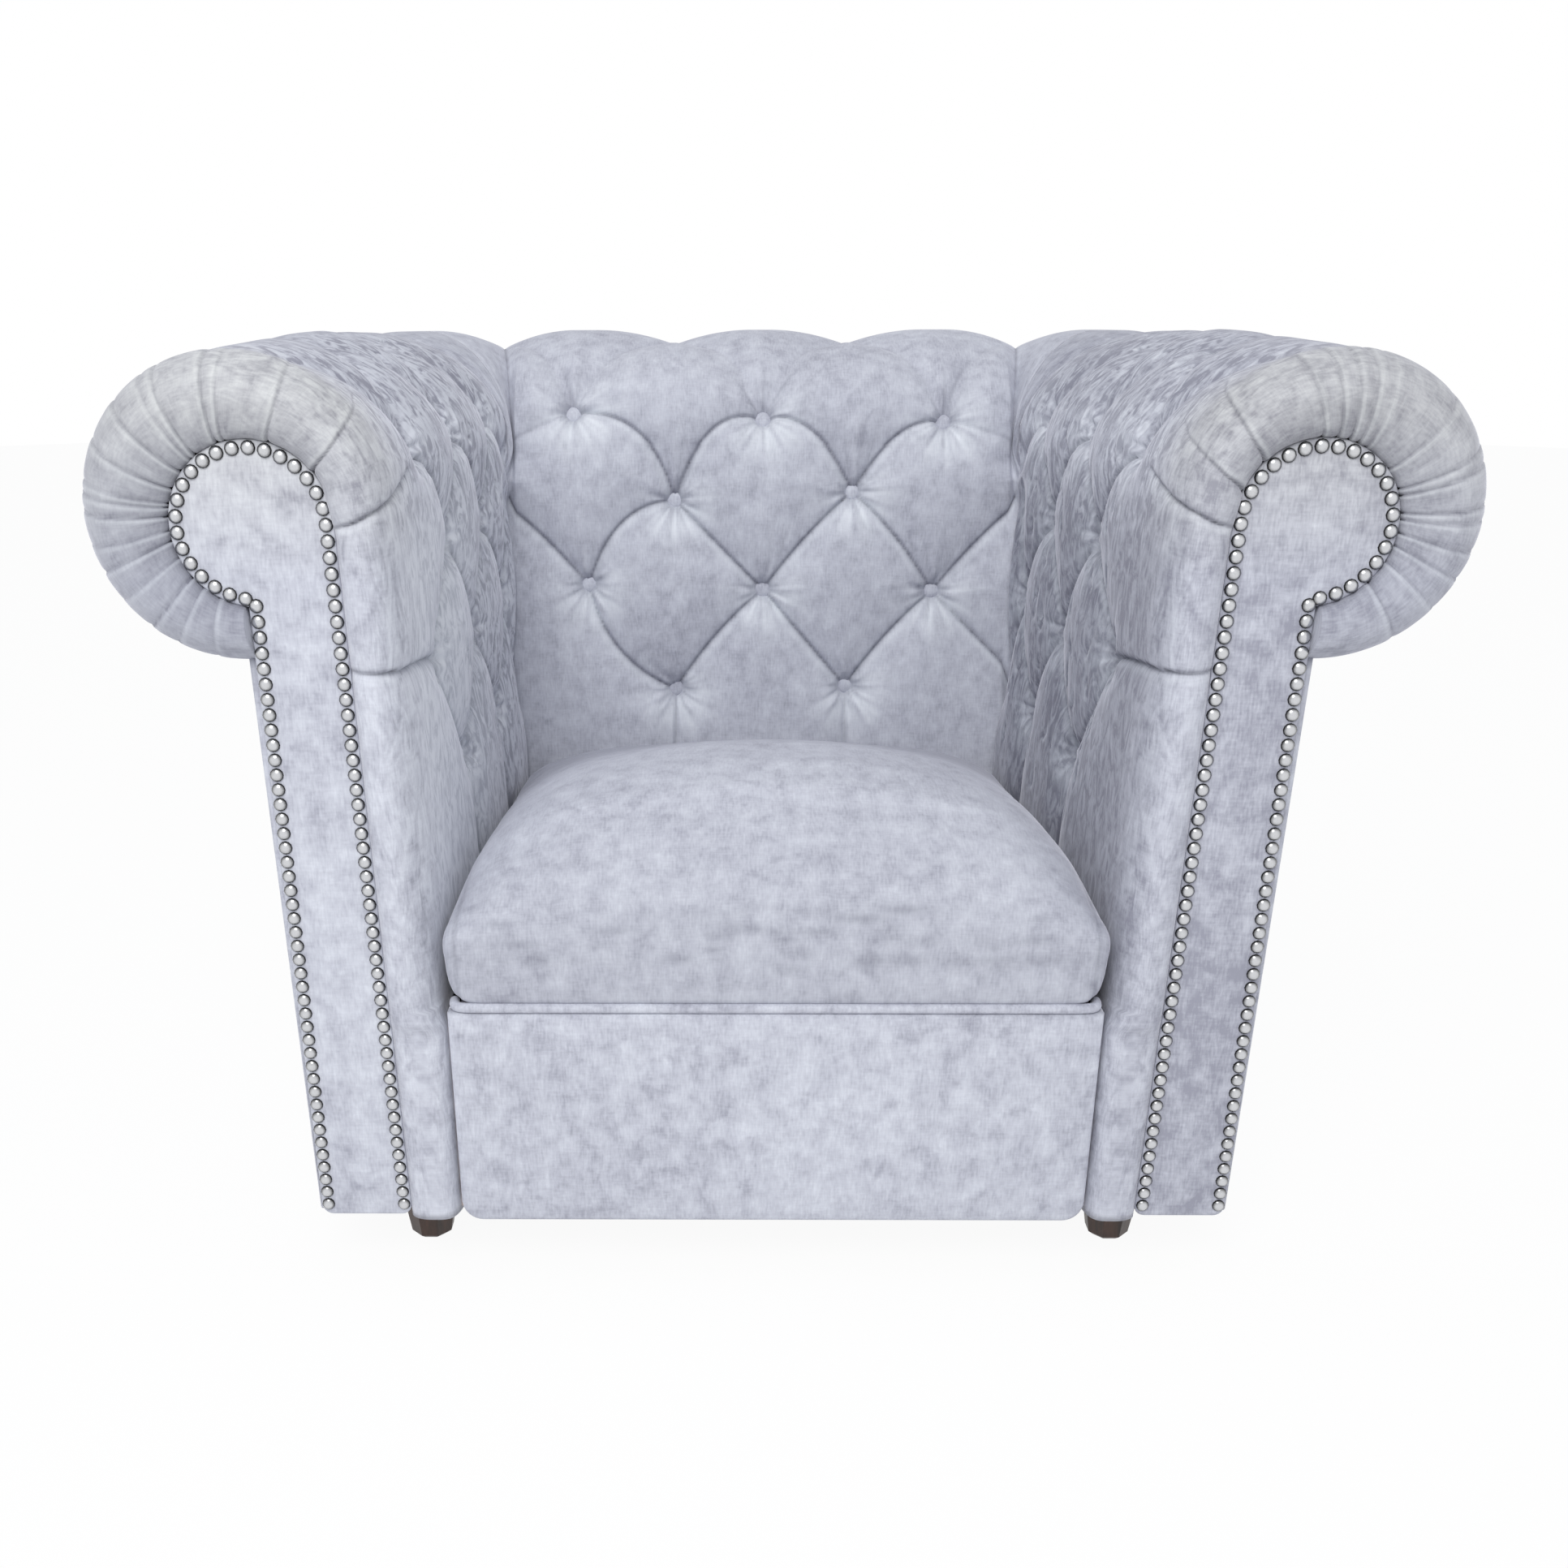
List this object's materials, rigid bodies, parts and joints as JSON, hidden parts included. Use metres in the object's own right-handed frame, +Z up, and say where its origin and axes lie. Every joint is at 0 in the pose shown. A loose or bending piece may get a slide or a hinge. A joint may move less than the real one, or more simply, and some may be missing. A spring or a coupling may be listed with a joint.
{
  "type": "chesterfield armchair",
  "caption": "Upholstered club armchair with rolled arms and back of one height, deep diamond buttoning, nailed arm facings and a loose seat cushion on short tapered feet.",
  "frame": {"origin": "on the floor below the middle of the chair", "axes": "+X to the right as seen from the front, +Y from the front to the back, +Z up"},
  "size_m": [1.0448, 0.8203, 0.7639],
  "materials": {
    "velvet": "crushed chenille velvet",
    "panel_velvet": "crushed chenille velvet, flat",
    "silver_nail": "polished nickel",
    "black_cloth": "spun bonded",
    "foam": "open-cell foam",
    "fibre_board": "pressed board",
    "hardwood": "planed",
    "foot_wood": "dark walnut stain, satin",
    "spring_steel": "bare",
    "zinc_steel": "zinc plated",
    "web": "woven rubber web"
  },
  "bodies": {
    "chair": {"arm_buttons_left": "velvet", "arm_buttons_right": "velvet", "arm_facing_left": "panel_velvet", "arm_facing_right": "panel_velvet", "arm_front_post_left": "hardwood", "arm_front_post_right": "hardwood", "arm_nails_left": "silver_nail", "arm_nails_right": "silver_nail", "arm_pad_left": "velvet", "arm_pad_right": "velvet", "arm_roll_core_left": "fibre_board", "arm_roll_core_right": "fibre_board", "arm_tack_rail_left": "hardwood", "arm_tack_rail_right": "hardwood", "arm_top_rail_left": "hardwood", "arm_top_rail_right": "hardwood", "arm_webbing_left": "web", "arm_webbing_right": "web", "back_buttons": "velvet", "back_pad": "velvet", "back_roll_core": "fibre_board", "back_tack_rail": "hardwood", "back_top_rail": "hardwood", "back_webbing": "web", "base_cloth": "black_cloth", "base_cloth_staples": "zinc_steel", "block_screws": "zinc_steel", "corner_block_front_left": "hardwood", "corner_block_front_right": "hardwood", "corner_block_rear_left": "hardwood", "corner_block_rear_right": "hardwood", "foot_front_left": "foot_wood", "foot_front_right": "foot_wood", "foot_rear_left": "foot_wood", "foot_rear_right": "foot_wood", "foot_studs": "zinc_steel", "foot_tee_nuts": "zinc_steel", "front_border": "panel_velvet", "front_border_piping": "velvet", "front_rail": "hardwood", "outside_arm_left": "panel_velvet", "outside_arm_right": "panel_velvet", "outside_back": "panel_velvet", "rear_post_left": "hardwood", "rear_post_right": "hardwood", "rear_rail": "hardwood", "seat_deck": "foam", "seat_springs": "spring_steel", "side_rail_left": "hardwood", "side_rail_right": "hardwood", "spring_clips": "zinc_steel"},
    "seat_cushion": {"seat_cushion_cover": "velvet", "seat_cushion_core": "foam"}
  },
  "joints": [
    {"name": "cushion_lift", "type": "slide", "parent": "chair", "child": "seat_cushion", "axis": [0, 0, 1], "range_m": [0, 0.52]}
  ]
}
